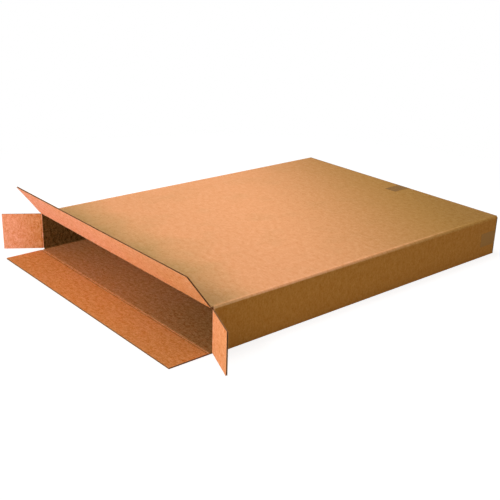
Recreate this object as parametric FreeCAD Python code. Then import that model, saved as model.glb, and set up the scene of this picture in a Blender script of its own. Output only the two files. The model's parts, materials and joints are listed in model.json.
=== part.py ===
"""A shallow corrugated carton that lies on its large face.

The far end is folded shut and taped. The near end is open, with its four flaps folded out.

Frame: the origin is the middle of the base panel's underside, +Z is up, the open end faces -Y,
and X runs along the opening. All lengths are in millimetres and all angles in degrees.
"""

import FreeCAD
import Part
import math
import os

from FreeCAD import Vector

# Inside of the closed carton
inside_width = 914.4  # along X, the length of the opening
inside_height = 127.0  # along Z
inside_length = 1219.2  # along Y, between the closed side flaps of both ends

# Single-wall corrugated board and its folds
board = 4.0
long_fold_radius = 3.0  # inner radius of the four folds that run along Y
end_fold_radius = 4.0  # outer radius of the folds at the closed end
layer_gap = 0.3  # between flaps that lie one over the other
crease_relief = 2.0  # how much further than 90 degrees the crushed crease can close

# Flaps: all are equally long, and the outer ones cover the whole end when they are closed
flap_edge_gap = 4.0  # between a closed flap's free edge and the inner face that it reaches for
slot_clearance = 3.0  # between a flap's side edge and the inner face of the wall beside it

# How far each open flap is turned outwards from its wall's own plane, at rest
top_flap_angle = 54.0
left_flap_angle = 33.0
right_flap_angle = 67.5

# Glued joint of the blank: a tab that stands up from the base, inside the right wall
tab_width = 35.0
tab_setback = 12.0  # from the end slots to the tab's ends
tab_taper = 10.0  # how much each end of the tab slopes back

# Tape at the closed end: one strip over the top edge and one round each side edge
tape_thickness = 0.25
tape_width = 48.0
tape_lap = 80.0  # length that lies on the wall
tape_drop = 75.0  # length that lies on the closed end
top_tape_x = 46.0  # middle of the top strip
side_tape_z = 62.0  # middle of each side strip

# Outer size, flap length from fold to free edge, and what the end slots take from each flap
outer_width = inside_width + 2 * board
outer_height = inside_height + 2 * board
flap_length = outer_height - board - flap_edge_gap
slot_inset = board + slot_clearance

# Fold planes along Y. Closed flaps lie in three layers: side flaps, then top flap, then base flap
layer = board + layer_gap
base_length = inside_length + 2 * board + 4 * layer
base_front = -base_length / 2
base_back = base_length / 2
FRONT_FOLD = {
    "base": base_front,
    "top": base_front + layer,
    "left_side": base_front + 2 * layer,
    "right_side": base_front + 2 * layer,
}
BACK_FOLD = {
    "base": base_back,
    "top": base_back - layer,
    "left_side": base_back - 2 * layer,
    "right_side": base_back - 2 * layer,
}
slot_front = FRONT_FOLD["left_side"] + board + slot_clearance
slot_back = BACK_FOLD["left_side"] - board - slot_clearance


def place(wall, y, depth, along):
    """Point of a wall: depth is measured inwards from its outer face, along is X or Z."""
    if wall == "top":
        return Vector(along, y, outer_height - depth)
    if wall == "base":
        return Vector(along, y, depth)
    if wall == "left_side":
        return Vector(-outer_width / 2 + depth, y, along)
    return Vector(outer_width / 2 - depth, y, along)


def wall_span(wall):
    """Range along the wall that is left between its two slots."""
    if wall in ("top", "base"):
        return -outer_width / 2 + slot_inset, outer_width / 2 - slot_inset
    return slot_inset, outer_height - slot_inset


def extrude_outline(wall, edges, start, end):
    """Solid with a closed outline in the wall's (y, depth) plane, from start to end along it."""
    face = Part.Face(Part.Wire(edges))
    return face.extrude(place(wall, 0, 0, end) - place(wall, 0, 0, start))


def polygon_edges(wall, outline, start):
    points = [place(wall, y, depth, start) for y, depth in outline]
    return [
        Part.makeLine(point, following)
        for point, following in zip(points, points[1:] + points[:1])
    ]


def rounded_bar(margin, radius, y_start, y_end):
    """Bar along Y, margin inside the carton's outer faces, with its long edges rounded."""
    bar = Part.makeBox(
        outer_width - 2 * margin,
        y_end - y_start,
        outer_height - 2 * margin,
        Vector(-outer_width / 2 + margin, y_start, margin),
    )
    long_edges = [e for e in bar.Edges if e.BoundBox.YLength > (y_end - y_start) / 2]
    return bar.makeFillet(radius, long_edges)


def tube():
    """The four walls between the end slots, joined by the four long folds."""
    outside = rounded_bar(0, long_fold_radius + board, slot_front, slot_back)
    inside = rounded_bar(board, long_fold_radius, slot_front, slot_back)
    return outside.cut(inside)


def open_edge(wall):
    """Short piece of a wall past the slots, bevelled on its inner side up to the open fold."""
    fold = FRONT_FOLD[wall]
    outline = [(fold, 0), (slot_front, 0), (slot_front, board), (fold + board, board)]
    start, end = wall_span(wall)
    return extrude_outline(wall, polygon_edges(wall, outline, start), start, end)


def closed_flap(wall):
    """Short piece of a wall past the far slots, with its flap folded square across the end."""
    start, end = wall_span(wall)
    fold = BACK_FOLD[wall]
    outline = [
        (slot_back, 0),
        (fold, 0),
        (fold, flap_length),
        (fold - board, flap_length),
        (fold - board, board),
        (slot_back, board),
    ]
    solid = extrude_outline(wall, polygon_edges(wall, outline, start), start, end)
    corner = place(wall, fold, 0, (start + end) / 2)
    fold_edges = [e for e in solid.Edges if e.CenterOfMass.distanceToPoint(corner) < board / 4]
    return solid.makeFillet(end_fold_radius, fold_edges)


def glue_tab():
    """Tab of the blank, glued flat to the inside of the right wall."""
    low = slot_front + tab_setback
    high = slot_back - tab_setback
    inner_face = outer_width / 2 - board
    corners = [
        Vector(inner_face, low, board),
        Vector(inner_face, high, board),
        Vector(inner_face, high - tab_taper, board + tab_width),
        Vector(inner_face, low + tab_taper, board + tab_width),
    ]
    face = Part.Face(Part.makePolygon(corners + corners[:1]))
    return face.extrude(Vector(-board, 0, 0))


def box_body():
    body = tube().fuse([glue_tab()])
    for wall in FRONT_FOLD:
        body = body.fuse([open_edge(wall), closed_flap(wall)])
    return body.removeSplitter()


def open_flap(wall, angle):
    """A flap that leaves its wall at the open fold, turned outwards about the outer edge."""
    fold = FRONT_FOLD[wall]
    bevel = board * math.tan(math.radians(45 + crease_relief))
    outline = [
        (fold, 0),
        (fold - bevel, board),
        (fold - flap_length, board),
        (fold - flap_length, 0),
    ]
    start, end = wall_span(wall)
    flap = extrude_outline(wall, polygon_edges(wall, outline, start), start, end)
    inwards = place(wall, 0, 1, 0) - place(wall, 0, 0, 0)
    hinge = Vector(0, 1, 0).cross(inwards)
    flap.rotate(place(wall, fold, 0, 0), hinge, angle)
    return flap


def tape_strip(wall, middle, edge_depth):
    """Tape on a wall, round its closed fold, across to the base flap's edge and along its face.

    The strip's profile is worked out in a plane of (y, height above the wall's outer face).
    It leaves the fold's arc where the arc's tangent meets the edge of the base flap.
    """
    radius = end_fold_radius
    centre = (BACK_FOLD[wall] - radius, -radius)
    edge = (base_back, -edge_depth)
    reach = math.hypot(edge[0] - centre[0], edge[1] - centre[1])
    direction = math.atan2(edge[1] - centre[1], edge[0] - centre[0])
    leave = direction + math.acos(radius / reach)
    halfway = (leave + math.pi / 2) / 2

    def on_arc(angle, distance):
        return centre[0] + distance * math.cos(angle), centre[1] + distance * math.sin(angle)

    def point(spot):
        return place(wall, spot[0], -spot[1], middle - tape_width / 2)

    def arc(distance):
        spots = (math.pi / 2, halfway, leave)
        return Part.Arc(*[point(on_arc(angle, distance)) for angle in spots]).toShape()

    outer_edge = (edge[0] + tape_thickness, edge[1] + tape_thickness * math.tan(leave / 2))
    start = (centre[0] - tape_lap, 0)
    end = (edge[0], edge[1] - tape_drop)
    outer = radius + tape_thickness
    edges = [
        Part.makeLine(point(start), point(on_arc(math.pi / 2, radius))),
        arc(radius),
        Part.makeLine(point(on_arc(leave, radius)), point(edge)),
        Part.makeLine(point(edge), point(end)),
        Part.makeLine(point(end), point((end[0] + tape_thickness, end[1]))),
        Part.makeLine(point((end[0] + tape_thickness, end[1])), point(outer_edge)),
        Part.makeLine(point(outer_edge), point(on_arc(leave, outer))),
        arc(outer),
        Part.makeLine(point(on_arc(math.pi / 2, outer)), point((start[0], tape_thickness))),
        Part.makeLine(point((start[0], tape_thickness)), point(start)),
    ]
    face = Part.Face(Part.Wire(Part.__sortEdges__(edges)))
    return face.extrude(place(wall, 0, 0, tape_width) - place(wall, 0, 0, 0))


def make_parts():
    return {
        "box_body": box_body(),
        "top_flap": open_flap("top", top_flap_angle),
        "bottom_flap": open_flap("base", 0),
        "left_side_flap": open_flap("left_side", left_flap_angle),
        "right_side_flap": open_flap("right_side", right_flap_angle),
        "top_tape": tape_strip("top", top_tape_x, outer_height - flap_length),
        "left_side_tape": tape_strip("left_side", side_tape_z, slot_inset),
        "right_side_tape": tape_strip("right_side", side_tape_z, slot_inset),
    }


os.makedirs("parts", exist_ok=True)
for name, shape in make_parts().items():
    shape.exportStep("parts/" + name + ".step")
    box = shape.BoundBox
    print(name, len(shape.Solids), shape.isValid(), round(shape.Volume), box)
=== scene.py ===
"""The looks of a shallow corrugated carton that lies on its large face, open at one end.

The carton is one sheet of board, wrapped into four walls with a glued tab. Its far end is
folded shut and taped, and its four near flaps bend outwards from their creases.
Lengths are in metres. A place on the sheet is given by how far it lies along a wall, its y, and
its depth under the wall's outer face.
"""

import json
import math
from collections import namedtuple

import bmesh
import bpy
import numpy as np
from mathutils import Matrix, Vector


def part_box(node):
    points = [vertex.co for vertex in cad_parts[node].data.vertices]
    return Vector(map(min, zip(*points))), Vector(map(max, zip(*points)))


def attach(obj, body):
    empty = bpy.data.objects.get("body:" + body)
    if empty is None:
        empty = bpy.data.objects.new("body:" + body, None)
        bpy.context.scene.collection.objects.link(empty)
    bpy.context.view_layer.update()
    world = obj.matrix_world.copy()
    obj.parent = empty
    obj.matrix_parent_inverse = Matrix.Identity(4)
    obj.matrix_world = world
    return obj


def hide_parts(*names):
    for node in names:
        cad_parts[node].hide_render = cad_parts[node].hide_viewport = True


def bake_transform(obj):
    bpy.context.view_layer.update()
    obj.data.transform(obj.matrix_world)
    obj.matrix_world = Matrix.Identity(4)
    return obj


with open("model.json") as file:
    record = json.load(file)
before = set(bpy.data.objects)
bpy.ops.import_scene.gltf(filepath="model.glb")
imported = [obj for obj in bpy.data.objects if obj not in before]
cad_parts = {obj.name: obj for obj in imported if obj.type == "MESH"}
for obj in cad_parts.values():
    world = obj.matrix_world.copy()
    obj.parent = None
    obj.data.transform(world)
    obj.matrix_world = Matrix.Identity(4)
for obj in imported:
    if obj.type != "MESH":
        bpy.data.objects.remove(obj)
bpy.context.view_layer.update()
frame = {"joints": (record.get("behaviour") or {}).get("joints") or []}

bl_info = {
    "name": "Corrugated carton",
    "version": (1, 0, 0),
    "blender": (4, 5, 0),
    "location": "View3D > Sidebar > Carton",
    "description": "Makes an open corrugated carton of folded board, with its creases, flutes and tape",
    "category": "Add Mesh",
}


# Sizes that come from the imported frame

BODY_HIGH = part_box("box_body")[1]
BASE_FLAP_LOW, BASE_FLAP_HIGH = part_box("bottom_flap")
JOINTS = {joint["child"]: joint for joint in frame["joints"]}
HALF_WIDTH = BODY_HIGH.x
HEIGHT = BODY_HIGH.z
BOARD = BASE_FLAP_HIGH.z - BASE_FLAP_LOW.z
FLAP_LENGTH = BASE_FLAP_HIGH.y - BASE_FLAP_LOW.y
SLOT_INSET = HALF_WIDTH - BASE_FLAP_HIGH.x
LAYER = JOINTS["top_flap"]["pos_m"][1] - JOINTS["bottom_flap"]["pos_m"][1]
TAPE_LOW, TAPE_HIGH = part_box("top_tape")
SIDE_TAPE_LOW, SIDE_TAPE_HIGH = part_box("right_side_tape")
CLOSED_ANGLE = 90.0

Wall = namedtuple("Wall", "name flap low high angle front back")


def make_wall(name, flap, layer, low, high):
    """A wall with its open flap, its layer in the closed end, and its fold planes along Y."""
    joint = JOINTS[flap]
    angle = math.radians(-joint["range_deg"][0] - CLOSED_ANGLE)
    front = joint["pos_m"][1]
    return Wall(name, flap, low, high, angle, front, BODY_HIGH.y - layer * LAYER)


WIDE = HALF_WIDTH - SLOT_INSET
WALLS = {
    "top": make_wall("top", "top_flap", 1, -WIDE, WIDE),
    "base": make_wall("base", "bottom_flap", 0, -WIDE, WIDE),
    "left_side": make_wall("left_side", "left_side_flap", 2, SLOT_INSET, HEIGHT - SLOT_INSET),
    "right_side": make_wall("right_side", "right_side_flap", 2, SLOT_INSET, HEIGHT - SLOT_INSET),
}
SLOT_FRONT = WALLS["left_side"].front + SLOT_INSET
SLOT_BACK = WALLS["left_side"].back - SLOT_INSET

# Mesh material places, the same on every board piece
OUTSIDE, INSIDE, FLUTES, CUT = range(4)


def srgb(red, green, blue):
    """Scene-linear colour of an 8-bit display colour."""
    share = np.array([red, green, blue]) / 255
    linear = np.where(share <= 0.04045, share / 12.92, ((share + 0.055) / 1.055) ** 2.4)
    return tuple(float(value) for value in linear)


def length(name, description, default):
    return bpy.props.FloatProperty(
        name=name, description=description, default=default, unit="LENGTH", precision=5
    )


def angle(name, description, degrees):
    return bpy.props.FloatProperty(
        name=name, description=description, default=math.radians(degrees), unit="ROTATION"
    )


def number(name, description, default):
    return bpy.props.FloatProperty(name=name, description=description, default=default)


def colour(name, description, display):
    return bpy.props.FloatVectorProperty(
        name=name, description=description, default=srgb(*display), subtype="COLOR", size=3
    )


class BoardSettings(bpy.types.PropertyGroup):
    """Sizes and colours of the corrugated board."""

    liner: length("Liner", "Thickness of each flat liner", 0.0005)
    medium: length("Medium", "Thickness of the fluted sheet between the liners", 0.0004)
    flute_pitch: length("Flute pitch", "Distance from one flute to the next", 0.0078)
    crease_reach: length("Crease reach", "Half the width of the board that bends at a flap", 0.0062)
    crease_depth: length("Crease depth", "How deep the score is pressed into the inner face", 0.0013)
    fold_across: length("Fold across", "Reach of a long fold's shoulder on the large panel", 0.0036)
    fold_down: length("Fold down", "Reach of a long fold's shoulder on the side wall", 0.0052)
    inner_fold: length("Inner fold", "Radius of the long folds on the inside", 0.003)
    corner_reach: length("Corner reach", "How far each long fold runs on between the flaps", 0.005)
    bead: length("Bead", "Height of the ridge beside each long fold", 0.0003)
    bow: length("Bow", "How far the large panels are out of flat", 0.0009)
    tab_width: length("Tab width", "Width of the glued tab inside the right wall", 0.035)
    tab_setback: length("Tab setback", "From the end slots to the tab's ends", 0.012)
    tab_taper: length("Tab taper", "How much each end of the tab slopes back", 0.010)
    end_radius: length("End fold radius", "Outer radius of the closed end's folds", 0.006)
    twist: angle("Flap twist", "How much less the top flap is turned at its left end", 1.2)
    # The outer tan also stands for the painted shadow of the raised top flap near the open end, and the
    # deep and brown colours are painted shade: on the top panel's far right, on the side walls and
    # inside the carton
    outside_warm: colour("Outside, warm", "Outer liner at its warmest", (241, 168, 115))
    outside_tan: colour("Outside, tan", "Outer liner where it is more yellow", (195, 152, 94))
    outside_deep: colour("Outside, deep", "Outer liner where it is most olive", (174, 127, 60))
    outside_brown: colour("Outside, brown", "Outer liner of the side walls", (188, 124, 46))
    inside_warm: colour("Inside, warm", "Inner liner at its warmest", (252, 166, 128))
    inside_tan: colour("Inside, tan", "Inner liner where it is more yellow", (234, 152, 83))
    inside_deep: colour("Inside, deep", "Inner liner away from the open end", (150, 110, 42))
    inside_brown: colour("Inside, brown", "Inner liner of the side walls", (115, 86, 40))
    # The flute colour is partly the fluted sheet's own darker paper and partly painted shade in the
    # hollows of the flutes
    flute_colour: colour("Flutes", "Fluted sheet between the liners", (156, 106, 64))
    edge_colour: colour("Cut edge", "Cut edges of the liners", (196, 146, 102))


class TapeSettings(bpy.types.PropertyGroup):
    """Sizes and colours of the packing tape."""

    film: length("Film", "Thickness of the tape", 0.0001)
    tooth: length("Tooth", "Pitch of the zigzag that the cutter leaves", 0.0024)
    glue: length("Glue", "Distance from the board to the film", 0.00004)
    wrinkle: length("Wrinkle", "Height of the highest wrinkles", 0.0001)
    film_colour: colour("Film colour", "Tan film over the board", (136, 96, 42))
    # The bubble colour also gives the painted sheen of the strips over the side walls
    bubble_and_sheen_colour: colour("Bubble colour", "Where air is caught under the film", (176, 124, 58))


class StageSettings(bpy.types.PropertyGroup):
    """Camera and lamps."""

    camera_place: bpy.props.FloatVectorProperty(
        name="Camera place", description="Where the camera stands", subtype="TRANSLATION",
        unit="LENGTH", default=(1.9908, -1.8281, 1.0522),
    )
    azimuth: angle("Azimuth", "Turn of the view from +Y towards -X", 49.046)
    elevation: angle("Elevation", "How steeply the camera looks down", 21.245)
    roll: angle("Roll", "Turn about the viewing direction", 1.891)
    focal: number("Focal share", "Focal length as a share of the picture's width", 1.70306)
    sky: number("Sky", "Strength of the even light from all round", 0.30)
    over: number("Overhead lamp", "Power of the soft lamp above, in watts", 19.5)
    front: number("Front lamp", "Power of the low lamp in front of the open end, in watts", 54.0)
    key: number("Key lamp", "Power of the higher lamp in front of the open end, in watts", 23.5)
    fill: number("Fill lamp", "Power of the soft lamp to the right of the carton, in watts", 2.5)
    floor_grey: number("Floor", "How much light the floor throws back", 0.7)
    floor_lift: number("Floor lift", "How much of the floor's white is free of shadow", 0.82)


# Places on the folded sheet


def place(wall, along, y, depth):
    """Points of a wall: depth is inwards from the outer face, and along is x or z."""
    along, y, depth = np.broadcast_arrays(along, y, depth)
    if wall.name == "top":
        return np.stack([along, y, HEIGHT - depth], -1)
    if wall.name == "base":
        return np.stack([along, y, depth], -1)
    side = -1 if wall.name == "left_side" else 1
    return np.stack([side * (HALF_WIDTH - depth), y, along], -1)


def around(wall, along):
    """Distance round the sheet from its cut edge at the right wall's foot, ignoring the folds."""
    along = np.asarray(along, float)
    if wall.name == "right_side":
        return along
    if wall.name == "top":
        return HEIGHT + HALF_WIDTH - along
    if wall.name == "left_side":
        return 2 * HEIGHT + 2 * HALF_WIDTH - along
    return 2 * HEIGHT + 3 * HALF_WIDTH + along


def gauss(distance, width):
    """Bell curve that is 1 at no distance."""
    return np.exp(-((distance / width) ** 2))


def smooth_step(share):
    """Rises from 0 at no share to 1 at a full one, level at both ends."""
    share = np.clip(share, 0, 1)
    return share * share * (3 - 2 * share)


def rise(position, start, reach):
    """0 up to the start and 1 from its reach further on, with smooth shoulders."""
    return smooth_step((position - start) / reach)


def window(position, low, high, edge):
    """0 at low and high and beyond, 1 further than edge inside them, with smooth shoulders."""
    return rise(position, low, edge) * rise(-position, -high, edge)


def bow(wall, along, y, amount):
    """How far a wall stands outwards of flat: two crossed waves, fading out at all its edges.

    The base panel lies on the floor, so it stays flat.
    """
    if wall.name == "base":
        return np.zeros(np.broadcast(along, y).shape)
    side_edge, end_edge = 0.35 * (wall.high - wall.low), 0.2
    fade = window(along, wall.low, wall.high, side_edge)
    fade = fade * window(y, SLOT_FRONT, SLOT_BACK, end_edge)
    turn = math.pi / HALF_WIDTH
    wave = 0.6 * np.sin(0.9 * turn * y + 0.8) + 0.4 * np.sin(2.3 * turn * y + 1.7 * turn * along)
    return amount * fade * (wave - 0.35)


# Meshes

SHARP_FROM = math.radians(32)


class Shells:
    """Closed shells of quads, gathered into one mesh with a flat-sheet UV map and attributes."""

    def __init__(self):
        self.points, self.quads, self.places, self.uvs = [], [], [], []
        self.values = {"warmth": [], "deep": [], "wear": []}
        self.count = 0

    def slab(self, near, far, uv, places, near_tones=(0, 0, 0), far_tones=(0, 0, 0)):
        """A sheet between two grids of points: both faces, and the rim that closes them.

        places are the materials of the near face, the far face and the rim, and the tones of a
        face are its warmth, depth and painted light.
        """
        rows, columns = near.shape[:2]
        total = rows * columns
        index = np.arange(total).reshape(rows, columns)
        ring = np.concatenate([index[0], index[1:, -1], index[-1, -2::-1], index[-2:0:-1, 0]])
        following = np.roll(ring, -1)
        cells = [index[:-1, :-1], index[:-1, 1:], index[1:, 1:], index[1:, :-1]]
        face = np.stack([cell.ravel() for cell in cells], -1)
        back = face[:, ::-1] + total
        rim = np.stack([ring, ring + total, following + total, following], -1)
        self.quads.append(np.concatenate([face, back, rim]) + self.count)
        self.places.append(np.repeat(places, (len(face), len(back), len(rim))))
        self.points.append(np.concatenate([near.reshape(-1, 3), far.reshape(-1, 3)]))
        self.uvs.append(np.tile(np.broadcast_to(uv, (rows, columns, 2)).reshape(-1, 2), (2, 1)))
        for gathered, near_value, far_value in zip(self.values.values(), near_tones, far_tones):
            for value in (near_value, far_value):
                gathered.append(np.broadcast_to(value, (rows, columns)).ravel())
        self.count += 2 * total

    def build(self, name, materials):
        """The mesh object, with its normals outwards and its sharp edges marked."""
        points = np.concatenate(self.points)
        quads = np.concatenate(self.quads)
        mesh = bpy.data.meshes.new(name)
        mesh.vertices.add(len(points))
        mesh.vertices.foreach_set("co", points.astype(np.float32).ravel())
        mesh.loops.add(quads.size)
        mesh.loops.foreach_set("vertex_index", quads.ravel().astype(np.int32))
        mesh.polygons.add(len(quads))
        mesh.polygons.foreach_set("loop_start", np.arange(0, quads.size, 4, dtype=np.int32))
        mesh.polygons.foreach_set("material_index", np.concatenate(self.places).astype(np.int32))
        for key, gathered in self.values.items():
            attribute = mesh.attributes.new(key, "FLOAT", "POINT")
            attribute.data.foreach_set("value", np.concatenate(gathered).astype(np.float32))
        uv_layer = mesh.uv_layers.new(name="sheet")
        flat = np.concatenate(self.uvs)[quads.ravel()]
        uv_layer.data.foreach_set("uv", flat.astype(np.float32).ravel())
        mesh.update(calc_edges=True)
        for material in materials:
            mesh.materials.append(material)
        outwards = bmesh.new()
        outwards.from_mesh(mesh)
        bmesh.ops.recalc_face_normals(outwards, faces=outwards.faces)
        outwards.to_mesh(mesh)
        outwards.free()
        mesh.shade_smooth()
        mesh.set_sharp_from_angle(angle=SHARP_FROM)
        mesh.validate()
        piece = bpy.data.objects.new(name, mesh)
        bpy.context.scene.collection.objects.link(piece)
        return piece


def spaced(low, high, step):
    return np.linspace(low, high, max(2, int(math.ceil((high - low) / step)) + 1))


# Materials

# Grains a metre, round the sheet and along it
CLOUDS = (8.0, 7.0)
MOTTLE = (75.0, 95.0)
STREAKS = (28.0, 240.0)
FIBRES = (220.0, 260.0)
SPECKS = (420.0, 900.0)
CUT_FIBRES = (700.0, 700.0)
FILM_LINES = (1400.0, 18.0)
FILM_BUBBLES = (160.0, 210.0)

# A fleck's step is the body's colour times the first, plus the second
FLECK_OF_BODY = (0.0, 0.3, 0.8)
FLECK_EVEN = (0.18, 0.08, 0.03)
FLECK_MIDDLE = 1.2

# Painted shade and the dark specks are a share of the deep colour, and the painted highlight lies a
# little above the warm one
SHADE_AND_SPECK_SHARE = 0.42
HIGHLIGHT_SHARE = 1.12
HIGHLIGHT_LIFT = 0.03


def feed(tree, node, links):
    """Sets inputs of a node to a value, or links them to a socket."""
    for name, value in links.items():
        if isinstance(value, bpy.types.NodeSocket):
            tree.links.new(value, node.inputs[name])
        else:
            node.inputs[name].default_value = value


def add(tree, kind, links=None, **settings):
    """A node with its settings and its inputs."""
    node = tree.nodes.new(kind)
    for name, value in settings.items():
        setattr(node, name, value)
    feed(tree, node, links or {})
    return node


def maths(tree, operation, first, second=0.0, third=0.0):
    links = {0: first, 1: second, 2: third}
    return add(tree, "ShaderNodeMath", links, operation=operation).outputs[0]


def blend_colour(tree, share, first, second):
    """Mix of two colours, each a socket or three numbers."""
    links = {0: share}
    for socket, value in ((6, first), (7, second)):
        is_socket = isinstance(value, bpy.types.NodeSocket)
        links[socket] = value if is_socket else (*value, 1.0)
    return add(tree, "ShaderNodeMix", links, data_type="RGBA").outputs[2]


def grain(tree, uv, per_metre, detail=3.0, roughness=0.55):
    """Noise over the flat sheet, with its own number of grains a metre round and along it."""
    scale = (*per_metre, 1.0)
    scaled = add(tree, "ShaderNodeVectorMath", {0: uv, 1: scale}, operation="MULTIPLY").outputs[0]
    links = {"Vector": scaled, "Scale": 1.0, "Detail": detail, "Roughness": roughness}
    return add(tree, "ShaderNodeTexNoise", links, noise_dimensions="3D").outputs["Fac"]


def rescale(tree, value, low, high, to_low=0.0, to_high=1.0):
    links = {"Value": value, "From Min": low, "From Max": high, "To Min": to_low, "To Max": to_high}
    return add(tree, "ShaderNodeMapRange", links, clamp=True).outputs["Result"]


def painted(tree, name):
    """Value of one of the mesh's own attributes."""
    return add(tree, "ShaderNodeAttribute", attribute_name=name).outputs["Fac"]


def new_material(name):
    material = bpy.data.materials.new(name)
    material.use_nodes = True
    return material, material.node_tree, material.node_tree.nodes["Principled BSDF"]


def surface(tree, shader, body, rough, gloss, height, relief, strength):
    """Sets the shader's colour, roughness and gloss, and its bump of a given relief."""
    links = {"Height": height, "Distance": relief, "Strength": strength}
    normal = add(tree, "ShaderNodeBump", links).outputs[0]
    links = {"Base Color": body, "Roughness": rough, "Specular IOR Level": gloss, "Normal": normal}
    feed(tree, shader, links)


def kraft(name, board, colours, flecks, fineness, ribs):
    """Kraft liner: soft clouds, short fibres that run round the carton, and a few dark specks.

    Its colour goes from tan to warm by the mesh's own warmth and by the clouds, then by the
    mesh's own depth to the deep colour, or to brown where there is no warmth, which is painted
    shade. It is lighter where the mesh's painted light is above zero, a painted highlight, and
    darker where it is below zero, painted shade. Flecks add or take a step of colour, finer ones
    at a higher fineness, and the flutes show as low ribs.
    """
    warm, tan, deep, brown = [tuple(value) for value in colours]
    material, tree, shader = new_material(name)
    uv = add(tree, "ShaderNodeUVMap", uv_map="sheet").outputs["UV"]
    warmth, wear, depth = (painted(tree, key) for key in ("warmth", "wear", "deep"))
    clouds = grain(tree, uv, CLOUDS, 2.0)
    mottle = grain(tree, uv, [per_metre * fineness for per_metre in MOTTLE])
    streaks = grain(tree, uv, STREAKS)
    fibres = grain(tree, uv, [per_metre * fineness for per_metre in FIBRES], 2.0)
    specks = grain(tree, uv, SPECKS, 1.0)
    drift = rescale(tree, clouds, 0.3, 0.7, -0.12, 0.12)
    warmed = add(tree, "ShaderNodeMath", {0: warmth, 1: drift}, operation="ADD", use_clamp=True)
    body = blend_colour(tree, warmed.outputs[0], tan, warm)
    shade = blend_colour(tree, warmth, brown, deep)
    # Depth blends to the deep or brown colour: painted shade
    body = blend_colour(tree, depth, body, shade)
    dark = tuple(SHADE_AND_SPECK_SHARE * value for value in deep)
    pale = tuple(min(1.0, HIGHLIGHT_SHARE * value + HIGHLIGHT_LIFT) for value in warm)
    # Painted highlight where the painted light is above zero, and painted shade where it is below
    painted_bright = maths(tree, "MULTIPLY", wear, rescale(tree, mottle, 0.35, 0.65, 0.5, 0.9))
    body = blend_colour(tree, maths(tree, "MAXIMUM", painted_bright, 0.0), body, pale)
    painted_dark = maths(tree, "MULTIPLY", wear, -1.0)
    body = blend_colour(tree, maths(tree, "MAXIMUM", painted_dark, 0.0), body, dark)
    fleck = maths(tree, "MULTIPLY_ADD", mottle, 0.9, fibres)
    fleck = maths(tree, "MULTIPLY_ADD", streaks, 0.5, fleck)
    fleck = maths(tree, "MULTIPLY", maths(tree, "SUBTRACT", fleck, FLECK_MIDDLE), flecks)
    links = {0: body, 1: FLECK_OF_BODY, 2: FLECK_EVEN}
    step = add(tree, "ShaderNodeVectorMath", links, operation="MULTIPLY_ADD").outputs[0]
    links = {"Vector": step, "Scale": fleck}
    change = add(tree, "ShaderNodeVectorMath", links, operation="SCALE").outputs[0]
    body = add(tree, "ShaderNodeVectorMath", {0: body, 1: change}).outputs[0]
    body = blend_colour(tree, rescale(tree, specks, 0.70, 0.78, 0.0, 0.4), body, dark)
    rough = rescale(tree, streaks, 0.25, 0.75, 0.78, 0.92)
    across = add(tree, "ShaderNodeSeparateXYZ", {0: uv}).outputs["X"]
    rib = maths(tree, "SINE", maths(tree, "MULTIPLY", across, 2 * math.pi / board.flute_pitch))
    height = maths(tree, "MULTIPLY_ADD", mottle, 1.2, maths(tree, "MULTIPLY", rib, ribs))
    height = maths(tree, "MULTIPLY_ADD", fibres, 0.5, height)
    surface(tree, shader, body, rough, 0.2, height, 0.0002, 0.5)
    return material


def rough_paper(name, main):
    """Unbleached paper seen at a cut: one colour broken up by coarse fibres."""
    material, tree, shader = new_material(name)
    uv = add(tree, "ShaderNodeUVMap", uv_map="sheet").outputs["UV"]
    fibres = grain(tree, uv, CUT_FIBRES)
    dark = tuple(0.6 * value for value in main)
    body = blend_colour(tree, rescale(tree, fibres, 0.4, 0.8, 0.0, 0.6), main, dark)
    surface(tree, shader, body, 0.95, 0.15, fibres, 0.0003, 0.7)
    return material


def board_materials(board):
    """The four materials of board, in the order of OUTSIDE, INSIDE, FLUTES and CUT."""
    names = ("kraft_outside", "kraft_inside", "fluted_sheet", "cut_liner")
    if names[0] in bpy.data.materials:
        return [bpy.data.materials[name] for name in names]
    outside = (board.outside_warm, board.outside_tan, board.outside_deep, board.outside_brown)
    inside = (board.inside_warm, board.inside_tan, board.inside_deep, board.inside_brown)
    return [
        kraft("kraft_outside", board, outside, 1.0, 0.7, 0.4),
        kraft("kraft_inside", board, inside, 2.5, 1.0, 0.4),
        rough_paper("fluted_sheet", tuple(board.flute_colour)),
        rough_paper("cut_liner", tuple(board.edge_colour)),
    ]


def film_material(tape):
    """Tan packing tape: satin film with fine lines along it and a few pale bubbles under it, and the
    bubble colour as a painted sheen where the mesh's warmth is set.
    """
    material, tree, shader = new_material("packing_tape")
    uv = add(tree, "ShaderNodeUVMap", uv_map="sheet").outputs["UV"]
    lines = grain(tree, uv, FILM_LINES, 2.0)
    bubbles = grain(tree, uv, FILM_BUBBLES, 2.0)
    film = tuple(tape.film_colour)
    dark = tuple(0.8 * value for value in film)
    body = blend_colour(tree, rescale(tree, lines, 0.4, 0.7, 0.0, 0.5), film, dark)
    share = rescale(tree, bubbles, 0.62, 0.70, 0.0, 0.7)
    # The mesh's warmth is the share of painted sheen
    pale = maths(tree, "MAXIMUM", share, painted(tree, "warmth"))
    body = blend_colour(tree, pale, body, tuple(tape.bubble_and_sheen_colour))
    rough = rescale(tree, lines, 0.3, 0.7, 0.55, 0.7)
    height = maths(tree, "MULTIPLY_ADD", share, 0.8, lines)
    surface(tree, shader, body, rough, 0.12, height, 0.0001, 0.4)
    return material


# Board pieces

# Where tones change on the large panels: the start of each change and its reach, over y, over
# x, or over the slant, which is y plus a share of x
SLANT = 0.5
# The warm rise over y, a little sooner towards the right, ends the painted shadow of the raised top
# flap, and the depth over the slant is painted shade
WARM_OVER_Y = (-0.605, 0.26)
SOONER_OVER_X = (0.2, 0.2)
DEEP_OVER_SLANT = (-0.146, 0.834)
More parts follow.
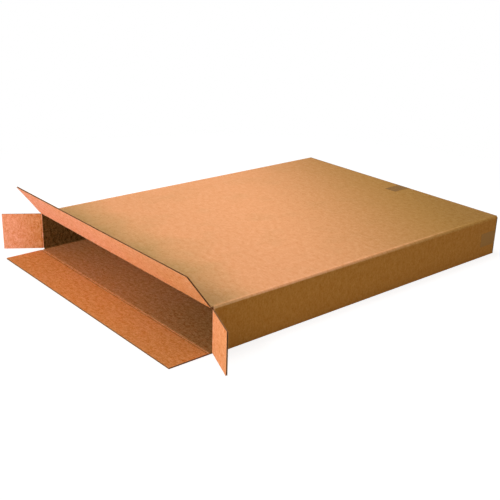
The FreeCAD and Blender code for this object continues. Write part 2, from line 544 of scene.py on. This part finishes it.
# Painted shade towards the far right corner
SHADE_OVER_SLANT = (0.5, 0.3)
# Where the painted highlight beside the long folds grows and fades over y
HIGHLIGHT_OVER_Y = (-0.6, 0.3)
HIGHLIGHT_FADE_OVER_Y = (-0.3, 0.9)
INNER_SHADE_OVER_X = (-0.1, 0.5)
FLAP_SHADE_OVER_X = (-0.05, 0.5)

# Warmth and depth of the base's outer liner, inner warmth, and inner painted shade at folds and tab
BASE_TONE = 0.3
INNER_WARM = 0.3
FOLD_INNER_SHADE = 0.9

# The ridge and the painted highlight line beside a long fold: how far they lie from it, and their
# widths
RIDGE = (0.0035, 0.0018)
HIGHLIGHT_LINE = (0.003, 0.0045)


def tone(wall, along, y):
    """Warmth and depth of the outer liner, where depth is painted shade.

    On the top panel warmth rises just inside the open end, a little sooner towards the right,
    so the tan strip along the open end is painted shadow of the raised top flap, and depth rises
    towards the far right corner as painted shade. The side walls are deep all over: painted shade.
    """
    along, y = np.broadcast_arrays(along, y)
    if wall.name == "top":
        sooner = 0.06 * rise(along, *SOONER_OVER_X)
        return rise(y + sooner, *WARM_OVER_Y), rise(y + SLANT * along, *DEEP_OVER_SLANT)
    if wall.name == "base":
        return np.full(y.shape, BASE_TONE), np.full(y.shape, BASE_TONE)
    return np.zeros(y.shape), np.ones(y.shape)


def inner_painted_shade(along):
    """Painted shade of the inner liner of a large panel: it rises towards the right wall."""
    return 0.45 + 0.3 * rise(along, *INNER_SHADE_OVER_X)


def fold_reach(board, y):
    """How far a long fold's shoulder reaches along the large panel and down the side wall.

    Both grow smoothly from the open end to the closed end, where the fold is softer.
    """
    share = rise(y, SLOT_FRONT, SLOT_BACK - SLOT_FRONT)
    return board.fold_across * (1 + share), board.fold_down * (1 + 0.6 * share)


def wall_run(wall, ends, inner_ends, step, y, board):
    """Outer and inner face of a flat run of the sheet between two folds, in its own direction.

    The points lie closer together near both ends. The top panel has a low ridge and a painted
    highlight line beside its folds, fading towards the closed end, and painted shade towards its
    far right corner; the other walls have slight painted shade beside their folds.
    """
    span = abs(float(inner_ends[1] - inner_ends[0]))
    near = np.array([0, 0.0012, 0.0025, 0.004, 0.006, 0.009, 0.016])
    distance = np.concatenate([near, spaced(0.03, span - 0.03, step), span - near[::-1]])
    share = distance[None, :] / span
    along = ends[0] + share * (ends[1] - ends[0]) + 0 * y
    inner_along = inner_ends[0] + share * (inner_ends[1] - inner_ends[0]) + 0 * y
    stand = bow(wall, along, y, board.bow)
    from_ends = (np.abs(along - ends[0]), np.abs(along - ends[1]))
    ridge = board.bead * sum(gauss(gap - RIDGE[0], RIDGE[1]) for gap in from_ends)
    # Painted highlight beside the folds of the top panel; on the other walls it turns to slight painted
    # shade
    wear = sum(gauss(gap - HIGHLIGHT_LINE[0], HIGHLIGHT_LINE[1]) for gap in from_ends)
    wear = wear * (0.5 + 0.3 * rise(y, *HIGHLIGHT_OVER_Y) - 0.7 * rise(y, *HIGHLIGHT_FADE_OVER_Y))
    if wall.name == "top":
        # Painted shade towards the far right corner
        wear = wear - 0.25 * rise(y + SLANT * along, *SHADE_OVER_SLANT)
    else:
        ridge, wear = 0.0, -0.14 * wear
    outer = place(wall, along, y, -stand - ridge)
    inner = place(wall, inner_along, y, BOARD - bow(wall, inner_along, y, board.bow))
    warm, deep = tone(wall, along, y)
    is_side = wall.name.endswith("side")
    inner_warm = np.full(along.shape, 0.0 if is_side else INNER_WARM)
    # Painted shade on the inner liner
    inner_shade = np.ones(along.shape) if is_side else inner_painted_shade(along)
    return outer, inner, around(wall, along), warm, deep, wear, inner_warm, inner_shade


def long_fold(corner, walls, reaches, y, board, corner_u):
    """Quarter turn of the sheet about a long fold, as two superellipse arcs.

    A point of the outer arc is the corner, moved along the wall before by its reach times one
    minus the sine raised to a power, and along the wall after by the same of the cosine. The
    power falls from nearly two, a flat shoulder, at the open end to a rounder one at the far
    end. The inner arc is a quarter circle. Towards the open end the upper folds carry a painted
    highlight with a thin line of painted shade beside it, and the folds of the base carry painted
    shade all along.
    """
    turn = np.linspace(0, math.pi / 2, 11)[None, 1:-1]
    share = (y - SLOT_FRONT) / (SLOT_BACK - SLOT_FRONT)
    power = 1.85 - 0.55 * share
    corner = np.array(corner, float)
    side = np.array([0.0, np.sign(HEIGHT / 2 - corner[1])])
    panel = np.array([-np.sign(corner[0]), 0.0])
    directions = [side if wall.name.endswith("side") else panel for wall in walls]

    def arc(point, before_reach, after_reach, raised):
        before = before_reach * (1 - np.sin(turn) ** raised)
        after = after_reach * (1 - np.cos(turn) ** raised)
        spot = point + before[..., None] * directions[0] + after[..., None] * directions[1]
        spot = np.broadcast_to(spot, (len(y), turn.size, 2))
        return np.stack([spot[..., 0], np.broadcast_to(y, spot.shape[:2]), spot[..., 1]], -1)

    outer = arc(corner, *reaches, power)
    inside = corner + BOARD * (directions[0] + directions[1])
    inner = arc(inside, board.inner_fold, board.inner_fold, 1.0)
    turned_share = turn / (math.pi / 2)
    side_share = turned_share if walls[1].name.endswith("side") else 1 - turned_share
    u = corner_u - reaches[0] * (1 - turned_share) + reaches[1] * turned_share + 0 * y
    edge = corner[0] + panel[0] * board.fold_across
    tones = [tone(wall, edge, y) for wall in walls]
    if not walls[1].name.endswith("side"):
        tones.reverse()
    late = side_share ** (4 - 2.5 * share)
    warm = tones[0][0] * (1 - late) + tones[1][0] * late
    deep = tones[0][1] * (1 - late) + tones[1][1] * late
    # Painted highlight on the fold's shoulder and a thin line of painted shade, both fading towards the
    # closed end, and painted shade all along the folds of the base
    wear = 0.2 * (1 - late) * (1 - share) - 0.45 * gauss(side_share - 0.1, 0.1) * (1 - share)
    if corner[1] < HEIGHT / 2:
        wear = -0.5 + 0 * u
    return outer, inner, u, warm, deep, wear, 0 * u, np.full(u.shape, FOLD_INNER_SHADE)


def glued_tab(fold_end, y, board, end_u):
    """The tab that stands up from the base inside the right wall.

    Its ends lie further back the higher they are, and it is pressed thinner towards its edge.
    """
    joint = HALF_WIDTH - BOARD
    share = np.linspace(0, 1, 7)[None, :]
    up = fold_end + share * (BOARD + board.tab_width - fold_end)
    back = (board.tab_setback + board.tab_taper * share) * share**0.25
    middle = (SLOT_FRONT + SLOT_BACK) / 2
    tab_y = middle + (y - middle) * (1 - 2 * back / (SLOT_BACK - SLOT_FRONT))
    pressed = 0.0006 * share**2
    outer = np.stack([np.full_like(tab_y, joint), tab_y, up + 0 * y], -1)
    inner_up = up + (BOARD + board.inner_fold - fold_end) * (1 - share)
    inner = np.stack([joint - BOARD + pressed + 0 * y, tab_y, inner_up + 0 * y], -1)
    none = np.zeros_like(tab_y)
    hidden = none + BASE_TONE
    return outer, inner, end_u + up + 0 * y, hidden, hidden, none, none, none + FOLD_INNER_SHADE


def wrapped_sheet(board, y):
    """The sheet from its cut edge at the right wall's foot, round all four walls, to the tab.

    Each flat run ends one fold reach short of the corner, and an arc joins it to the next run.
    """
    wide, tall = HALF_WIDTH, HEIGHT
    across, down = fold_reach(board, y)
    inset = BOARD + board.inner_fold
    joint = wide - BOARD
    top, base, left, right = WALLS.values()
    foot = 0.0004
    panel = (wide - across, across - wide)
    floor_panel = (across - wide, joint - across)
    end_u = 2 * tall + 4 * wide
    return [
        wall_run(right, (foot, tall - down), (foot, tall - inset), 0.025, y, board),
        long_fold((wide, tall), (right, top), (down, across), y, board, tall),
        wall_run(top, panel, (wide - inset, inset - wide), 0.03, y, board),
        long_fold((-wide, tall), (top, left), (across, down), y, board, tall + 2 * wide),
        wall_run(left, (tall - down, down), (tall - inset, inset), 0.025, y, board),
        long_fold((-wide, 0), (left, base), (down, across), y, board, 2 * tall + 2 * wide),
        wall_run(base, floor_panel, (inset - wide, joint - inset), 0.05, y, board),
        long_fold((joint, 0), (base, right), (across, down), y, board, end_u),
        glued_tab(down, y, board, end_u),
    ]


def carton_walls(board):
    """One closed shell of the wrapped sheet. At its folds it reaches a little into the slots."""
    y = spaced(SLOT_FRONT, SLOT_BACK, 0.022)[:, None]
    gathered = zip(*wrapped_sheet(board, y))
    outer, inner, u, *tones = (np.concatenate(value, 1) for value in gathered)
    margin = 0.0005
    near_fold = np.abs(outer[..., 2] - HEIGHT / 2) > HEIGHT / 2 - SLOT_INSET + margin
    near_fold &= np.abs(outer[..., 0]) > WIDE + margin
    for row, reach in ((0, -board.corner_reach), (-1, board.corner_reach)):
        outer[row, near_fold[row], 1] += reach
        inner[row, near_fold[row], 1] += reach
    uv = np.stack([u, np.broadcast_to(y, u.shape)], -1)
    shells = Shells()
    places = (OUTSIDE, INSIDE, CUT)
    shells.slab(outer, inner, uv, places, tones[:3], (*tones[3:], 0.0))
    return shells


def crease_faces(board, along, out):
    """Depth of a flap's outer and inner face: a shallow dent outside, and two grooves inside.

    out is the distance from the fold, positive on the flap. Each groove is a bell curve beside
    a lower middle ridge, and a slow wave along the fold makes them uneven.
    """
    uneven = 1 + 0.22 * np.sin(41 * along) + 0.14 * np.sin(97 * along + 1.3)
    outer = 0.0005 * gauss(out, 0.0024) * uneven
    grooves = gauss(out - 0.0021, 0.0010) + gauss(out + 0.0021, 0.0010)
    pressed = board.crease_depth * uneven * (grooves + 0.3 * gauss(out, 0.0014))
    return outer + 0 * along, BOARD - pressed


def board_layers(shells, board, along, out, faces, put, uv_of, outer_tones, inner_tones):
    """Outer liner, inner liner and the fluted sheet between them, all closed shells.

    faces gives the depth of the outer and inner face, and put turns a place on the flat board
    into a point. The fluted sheet is a sine wave across the flutes that touches both liners.
    """
    rows, columns = out[:, None], along[None, :]
    outer, inner = faces(board, columns, rows)
    uv = uv_of(columns, rows)
    outside = (outer, board.liner, OUTSIDE, outer_tones)
    inside = (inner, -board.liner, INSIDE, inner_tones)
    for depth, liner, face, tones in (outside, inside):
        near, far = put(columns, rows, depth), put(columns, rows, depth + liner)
        shells.slab(near, far, uv, (face, FLUTES, CUT), tones)
    flutes = round((along[-1] - along[0]) / board.flute_pitch)
    points_a_flute = 8
    fine = np.linspace(along[0], along[-1], flutes * points_a_flute + 1)[None, :]
    picked = np.unique(np.concatenate([out[::5], out[-1:]]))[:, None]
    outer, inner = faces(board, fine, picked)
    middle = (outer + inner) / 2
    half = board.medium / 2
    swing = (inner - outer) / 2 - board.liner - half
    wave = middle + swing * np.sin(2 * math.pi * (fine - along[0]) / board.flute_pitch)
    near, far = put(fine, picked, wave - half), put(fine, picked, wave + half)
    shells.slab(near, far, uv_of(fine, picked), (FLUTES, FLUTES, FLUTES))


def turned(out, depth, turn):
    """A place beside a fold, turned outwards about the fold's outer edge."""
    sine, cosine = np.sin(turn), np.cos(turn)
    return out * cosine + depth * sine, depth * cosine - out * sine


def bend(out, depth, turn, reach):
    """Where each place of the board comes to when its flap is turned.

    It takes a share of the flap's turn: the smooth step of how far the turned place lies from
    the start of the crease to its end. The turned place depends on the share, so the share is
    found by repeated averaging.
    """
    rounds = 80
    start = np.array([-reach, 0.0])
    end = np.array(turned(reach, 0.0, turn))
    line = end - start
    share = smooth_step((out + reach) / (2 * reach)) + 0 * depth
    for _ in range(rounds):
        across, under = turned(out, depth, share * turn)
        found = ((across - start[0]) * line[0] + (under - start[1]) * line[1]) / (line @ line)
        share = (share + smooth_step(found)) / 2
    return turned(out, depth, share * turn)


def flap_tones(wall, along, out):
    """Warmth, depth and painted light of a flap's outer and inner face.

    The inner face is warm on the side flaps, fades from left to right on the top flap and is
    tan on the base flap. It has slight painted shade on the right flap, on the right half of the
    large flaps and near the left flap's crease. It takes the wall's painted shade up to the
    crease, where a thin painted highlight runs with a line of painted shade beside it: on the
    flap, or on the wall where the wall is a side. The outer face has a painted highlight along
    the crease.
    """
    along, out = np.broadcast_arrays(along, out)
    warm, deep = tone(wall, along, wall.front - out)
    is_side = wall.name.endswith("side")
    if wall.name == "right_side":
        inner_warm, least_shade = 0.4, 0.1
    elif wall.name == "left_side":
        share = rise(out, 0.0, FLAP_LENGTH)
        inner_warm, least_shade = 0.3 + 0.6 * share, 0.2 - 0.18 * share
    else:
        to_left = (wall.high - along) / (wall.high - wall.low)
        inner_warm = 0.25 + 0.75 * to_left if wall.name == "top" else 0.0
        least_shade = 0.15 * rise(along, *FLAP_SHADE_OVER_X)
    seam = 0.0012
    wall_side = smooth_step((seam - out) / (2 * seam))
    inner_warm = inner_warm + wall_side * ((0.0 if is_side else INNER_WARM) - inner_warm)
    inner_shade = np.maximum(wall_side * (1.0 if is_side else inner_painted_shade(along)), least_shade)
    # A line of painted shade beside the crease, under the thin painted highlight along it
    shade = gauss(out + 0.0042, 0.0022) if is_side else 0.5 * gauss(out - 0.0042, 0.0018)
    inner_painted_light = (0.9 if is_side else 0.5) * gauss(out, 0.0011) - shade
    return (warm, deep, 0.5 * gauss(out, 0.0022)), (inner_warm, inner_shade, inner_painted_light)


def open_flap(wall, board):
    """A flap that bends outwards at its crease, with open flutes along its free edge."""
    reach = board.crease_reach
    seam = wall.front - SLOT_FRONT
    along = spaced(wall.low, wall.high, 0.012)
    step = 0.0006
    crease = np.arange(-reach - step, reach + step, step)
    out = np.concatenate([
        np.linspace(seam, -reach - 2 * step, 3), crease, [reach + 0.002, 0.012, 0.02],
        np.linspace(0.04, FLAP_LENGTH - 0.01, 5), [FLAP_LENGTH - 0.002, FLAP_LENGTH],
    ])

    def put(columns, rows, depth):
        sag = 0.0
        if wall.name == "top":
            end_share = (wall.high - columns) / (wall.high - wall.low)
            sag = board.twist * end_share * rise(rows, reach, FLAP_LENGTH - reach)
        flat, under = turned(rows, depth, -sag)
        moved, under = bend(flat, under, wall.angle, reach)
        return place(wall, columns, wall.front - moved, under)

    def uv_of(columns, rows):
        return np.stack(np.broadcast_arrays(around(wall, columns), wall.front - rows), -1)

    shells = Shells()
    tones = flap_tones(wall, along[None, :], out[:, None])
    board_layers(shells, board, along, out, crease_faces, put, uv_of, *tones)
    piece = shells.build(wall.flap + "_board", board_materials(board))
    spot = (wall.low + wall.high) / 2
    far, under = turned(reach, 0.0, wall.angle)
    start = place(wall, spot, wall.front + reach, 0.0)
    end = place(wall, spot, wall.front - far, under)
    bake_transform(piece)
    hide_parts(wall.flap)


def fold_faces(board, along, out):
    """Depth of a closed flap's faces: the board is pressed thinner round its fold."""
    halfway = board.end_radius * math.pi / 4
    pressed = 0.0011 * gauss(out - halfway, 0.0042)
    return 0 * out + 0 * along, BOARD - pressed + 0 * along


def closed_flap(shells, wall, board):
    """A flap folded square across the closed end, with open flutes along its free edge.

    The outer face runs straight to the fold, round a quarter circle and straight across the end.
    It has painted shade round the fold.
    """
    radius = board.end_radius
    arc_start = wall.back - radius
    arc = radius * math.pi / 2
    along = spaced(wall.low, wall.high, 0.03)
    last = arc + FLAP_LENGTH - radius
    out = np.concatenate([
        [SLOT_BACK - arc_start], np.linspace(-0.0012, arc + 0.0012, 10), [arc + 0.006],
        np.linspace(0.02, last - 0.01, 4), [last],
    ])

    def put(columns, rows, depth):
        turn = np.clip(rows / radius, 0, math.pi / 2)
        y = arc_start + np.minimum(rows, 0) + (radius - depth) * np.sin(turn)
        under = radius - (radius - depth) * np.cos(turn) + np.maximum(rows - arc, 0)
        return place(wall, columns, y, under)

    def uv_of(columns, rows):
        return np.stack(np.broadcast_arrays(around(wall, columns), arc_start + rows), -1)

    shape = (len(out), len(along))
    warm, deep = tone(wall, along[None, :], np.full(shape, wall.back))
    if not wall.name.endswith("side"):
        deep = np.full(shape, 0.45)
    # Painted shade across the fold's arc, fading off it on both sides
    darkest = 0.9
    rim_shade = gauss(np.maximum(0.001 - out, 0), 0.004) * gauss(np.maximum(out - arc, 0), 0.006)
    rim_shade = np.minimum(darkest * rim_shade + 0.6 * gauss(out - 0.006, 0.005), darkest)
    outer_tones = (warm, deep, -rim_shade[:, None])
    inner_tones = (0.2, 1.0, 0.0)
    board_layers(shells, board, along, out, fold_faces, put, uv_of, outer_tones, inner_tones)


# Tape


def tape_path(wall, lap, drop, edge_depth, board, rows):
    """The tape's line: along the wall, round the fold, straight to the base flap, and down it.

    It leaves the fold's arc where the arc's tangent meets the edge of the base flap. rows are
    distances along it. It returns y, the height over the wall's outer face, the direction in
    which the strip's outer face looks, and the whole length.
    """
    radius = board.end_radius
    centre = np.array([wall.back - radius, -radius])
    edge = np.array([BODY_HIGH.y, -edge_depth])
    reach = math.hypot(*(edge - centre))
    heading = math.atan2(edge[1] - centre[1], edge[0] - centre[0])
    leave = heading + math.acos(radius / reach)
    arc = radius * (math.pi / 2 - leave)
    bridge = math.sqrt(reach**2 - radius**2)
    turn = math.pi / 2 - np.clip((rows - lap) / radius, 0, math.pi / 2 - leave)
    across = np.clip(rows - lap - arc, 0, bridge)
    down = np.maximum(rows - lap - arc - bridge, 0)
    y = centre[0] + np.minimum(rows - lap, 0) + radius * np.cos(turn) + across * math.sin(leave)
    high = centre[1] + radius * np.sin(turn) - across * math.cos(leave) - down
    normal = np.where(down > 0, 0.0, turn)
    return y, high, normal, lap + arc + bridge + drop


def tape_strip(wall, low, high, start, drop, edge_depth, pale, board, tape):
    """A strip of film over the closed end's edge, cut at both ends by a toothed blade.

    It lies from low to high along the wall, and begins at a start along Y. Its teeth are a
    triangle wave, and its wrinkles are two crossed sine waves. pale is how much of it shows the
    lighter bubble colour all over, as a painted sheen.
    """
    half = (high - low) / 2
    lap = wall.back - board.end_radius - start
    total = tape_path(wall, lap, drop, edge_depth, board, np.zeros(1))[3]
    columns = spaced(-half, half, tape.tooth / 4)[None, :]
    rows = np.concatenate([
        np.linspace(0, lap - 0.004, 24), np.linspace(lap - 0.002, lap + 0.02, 23),
        np.linspace(lap + 0.024, total, 20),
    ])[:, None]
    tooth = tape.tooth * np.abs((columns / tape.tooth) % 1 - 0.5)
    end = 0.01
    end_share = np.clip(1 - rows / end, 0, 1) - np.clip(1 - (total - rows) / end, 0, 1)
    rows_cut = rows + tooth * end_share
    y, lift, normal, _ = tape_path(wall, lap, drop, edge_depth, board, rows_cut)
    along = low + half + columns + 0 * rows
    wrinkle = tape.wrinkle * np.sin(230 * rows + 90 * columns) * np.sin(310 * columns + 1)
    wrinkle = np.abs(wrinkle) * window(rows, end, total - end, 2 * end)
    stand = bow(wall, along, y, board.bow) * (rows_cut < lap)

    def put(gap):
        gap = gap + wrinkle
        depth = -(lift + stand + gap * np.sin(normal))
        return place(wall, along, y + gap * np.cos(normal), depth)

    uv = np.stack([along, rows + 0 * columns], -1)
    tones = (pale, 0, 0)
    shells = Shells()
    shells.slab(put(tape.glue + tape.film), put(tape.glue), uv, (0, 0, 0), tones, tones)
    film = bpy.data.materials.get("packing_tape") or film_material(tape)
    return shells.build(wall.name + "_tape_film", [film])


# Operators


class CARTON_OT_walls(bpy.types.Operator):
    """Make the four walls, the glued tab and the closed end's folded flaps"""

    bl_idname = "carton.walls"
    bl_label = "Walls and closed end"

    def execute(self, context):
        board = context.scene.carton_board
        shells = carton_walls(board)
        for wall in WALLS.values():
            closed_flap(shells, wall, board)
        piece = shells.build("carton_board", board_materials(board))
        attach(piece, "carton")
        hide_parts("box_body")
        return {"FINISHED"}


class CARTON_OT_open_flaps(bpy.types.Operator):
    """Make the four open flaps with their creases"""

    bl_idname = "carton.open_flaps"
    bl_label = "Open flaps"

    def execute(self, context):
        for wall in WALLS.values():
            open_flap(wall, context.scene.carton_board)
        return {"FINISHED"}


class CARTON_OT_tape(bpy.types.Operator):
    """Make the three strips of packing tape at the closed end"""

    bl_idname = "carton.tape"
    bl_label = "Tape"

    def execute(self, context):
        board = context.scene.carton_board
        tape = context.scene.carton_tape
        edge = HEIGHT - FLAP_LENGTH
        over_top = (TAPE_LOW.x, TAPE_HIGH.x, TAPE_LOW.y, HEIGHT - edge - TAPE_LOW.z, edge, 0.0)
        drop = HALF_WIDTH - SLOT_INSET - SIDE_TAPE_LOW.x
        low, high, start = SIDE_TAPE_LOW.z, SIDE_TAPE_HIGH.z, SIDE_TAPE_LOW.y
        # The side strips show 0.8 of the bubble colour as a painted sheen
        over_side = (low, high, start, drop, SLOT_INSET, 0.8)
        runs = {"top": over_top, "left_side": over_side, "right_side": over_side}
        for wall, run in runs.items():
            strip = tape_strip(WALLS[wall], *run, board, tape)
            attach(strip, "carton")
            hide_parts(wall + "_tape")
        return {"FINISHED"}


# Stage

# The floor's reach and height, where its shadow fades to white, and how bright lit floor is
FLOOR_REACH = 30.0
FLOOR_Z = -0.0004
FLOOR_FADE = (0.9, 1.7)
FLOOR_GAIN = 2.0
WHITE = (1.0, 1.0, 1.0, 1.0)

# Each lamp's power setting, name, place, aim and size
LAMPS = (
    ("over", "overhead_lamp", (-0.22, 0.18, 2.0), (-0.22, 0.18, 0.0), (0.9, 0.9)),
    ("fill", "fill_lamp", (2.1, -0.35, 1.0), (0.4, -0.1, 0.1), (0.8, 0.8)),
    ("front", "front_lamp", (-0.6, -4.5, 0.8), (0.0, -0.6, 0.1), (1.0, 0.8)),
    ("key", "key_lamp", (0.4, -2.6, 1.45), (0.0, -0.4, 0.1), (1.0, 0.6)),
)


def white_to_camera(tree, others, white):
    """Camera, glossy and transmission rays see the white shader, and all others the other."""
    path = add(tree, "ShaderNodeLightPath").outputs
    seen = maths(tree, "MAXIMUM", path["Is Camera Ray"], path["Is Glossy Ray"])
    seen = maths(tree, "MAXIMUM", seen, path["Is Transmission Ray"])
    return add(tree, "ShaderNodeMixShader", {0: seen, 1: others, 2: white}).outputs[0]


def floor_material(stage):
    """Pale floor that looks white to the camera and keeps a soft shadow."""
    material, tree, shader = new_material("pale_floor")
    greys = (stage.floor_grey, (1 - stage.floor_lift) * FLOOR_GAIN)
    plain, lit = (
        add(tree, "ShaderNodeBsdfDiffuse", {"Color": (grey, grey, grey, 1.0)}).outputs[0]
        for grey in greys
    )
    glow = add(tree, "ShaderNodeEmission", {"Strength": stage.floor_lift}).outputs[0]
    both = add(tree, "ShaderNodeAddShader", {0: lit, 1: glow}).outputs[0]
    spot = add(tree, "ShaderNodeTexCoord").outputs["Object"]
    distance = add(tree, "ShaderNodeVectorMath", {0: spot}, operation="LENGTH").outputs["Value"]
    far = rescale(tree, distance, *FLOOR_FADE)
    white = add(tree, "ShaderNodeEmission", {"Strength": 1.0}).outputs[0]
    both = add(tree, "ShaderNodeMixShader", {0: far, 1: both, 2: white}).outputs[0]
    shown = white_to_camera(tree, plain, both)
    feed(tree, tree.nodes["Material Output"], {"Surface": shown})
    tree.nodes.remove(shader)
    return material


def soft_lamp(name, place_at, aim, size, watts):
    lamp = bpy.data.lights.new(name, "AREA")
    lamp.shape = "RECTANGLE"
    lamp.size, lamp.size_y = size
    lamp.energy = watts
    holder = bpy.data.objects.new(name, lamp)
    holder.location = place_at
    holder.rotation_euler = (Vector(aim) - Vector(place_at)).to_track_quat("-Z", "Y").to_euler()
    bpy.context.scene.collection.objects.link(holder)


def camera_matrix(stage):
    """Columns right, up and back of the view, from its azimuth, elevation and roll."""
    azimuth, elevation, roll = stage.azimuth, stage.elevation, stage.roll
    right = Vector((math.cos(azimuth), math.sin(azimuth), 0))
    back = Vector((
        math.sin(azimuth) * math.cos(elevation),
        -math.cos(azimuth) * math.cos(elevation),
        math.sin(elevation),
    ))
    up = back.cross(right)
    turned_right = math.cos(roll) * right + math.sin(roll) * up
    turned_up = math.cos(roll) * up - math.sin(roll) * right
    matrix = Matrix((turned_right, turned_up, back)).transposed().to_4x4()
    matrix.translation = Vector(stage.camera_place)
    return matrix


class CARTON_OT_stage(bpy.types.Operator):
    """Make the floor, the lamps and the camera"""

    bl_idname = "carton.stage"
    bl_label = "Stage"

    def execute(self, context):
        scene = context.scene
        stage = scene.carton_stage
        scene.view_settings.view_transform = "Standard"

        mesh = bpy.data.meshes.new("floor")
        ends = (-FLOOR_REACH, FLOOR_REACH)
        corners = [(x, y, FLOOR_Z) for x in ends for y in ends]
        mesh.from_pydata(corners, [], [(0, 2, 3, 1)])
        mesh.materials.append(floor_material(stage))
        floor = bpy.data.objects.new("floor", mesh)
        scene.collection.objects.link(floor)

        world = scene.world or bpy.data.worlds.new("room")
        scene.world = world
        world.use_nodes = True
        tree = world.node_tree
        tree.nodes.clear()
        even, white = (
            add(tree, "ShaderNodeBackground", {"Color": WHITE, "Strength": strength}).outputs[0]
            for strength in (stage.sky, 1.0)
        )
        add(tree, "ShaderNodeOutputWorld", {"Surface": white_to_camera(tree, even, white)})

        for setting, *lamp in LAMPS:
            soft_lamp(*lamp, getattr(stage, setting))

        lens = bpy.data.cameras.new("view")
        lens.sensor_width = 36.0
        lens.lens = stage.focal * lens.sensor_width
        camera = bpy.data.objects.new("view", lens)
        camera.matrix_world = camera_matrix(stage)
        scene.collection.objects.link(camera)
        scene.camera = camera
        return {"FINISHED"}


class CARTON_PT_panel(bpy.types.Panel):
    """Lists the steps that make the carton, and its settings"""

    bl_label = "Carton"
    bl_idname = "CARTON_PT_panel"
    bl_space_type = "VIEW_3D"
    bl_region_type = "UI"
    bl_category = "Carton"

    def draw(self, context):
        for operator in STEPS:
            self.layout.operator(operator.bl_idname)
        scene = context.scene
        for group in (scene.carton_board, scene.carton_tape, scene.carton_stage):
            for name in group.__annotations__:
                self.layout.prop(group, name)


STEPS = (CARTON_OT_walls, CARTON_OT_open_flaps, CARTON_OT_tape, CARTON_OT_stage)
CLASSES = (BoardSettings, TapeSettings, StageSettings, *STEPS, CARTON_PT_panel)


def register():
    for item in CLASSES:
        bpy.utils.register_class(item)
    bpy.types.Scene.carton_board = bpy.props.PointerProperty(type=BoardSettings)
    bpy.types.Scene.carton_tape = bpy.props.PointerProperty(type=TapeSettings)
    bpy.types.Scene.carton_stage = bpy.props.PointerProperty(type=StageSettings)


def unregister():
    del bpy.types.Scene.carton_stage
    del bpy.types.Scene.carton_tape
    del bpy.types.Scene.carton_board
    for item in reversed(CLASSES):
        bpy.utils.unregister_class(item)


def main():
    register()
    bpy.ops.carton.walls()
    bpy.ops.carton.open_flaps()
    bpy.ops.carton.tape()
    bpy.ops.carton.stage()
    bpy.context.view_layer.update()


if __name__ == "__main__":
    main()
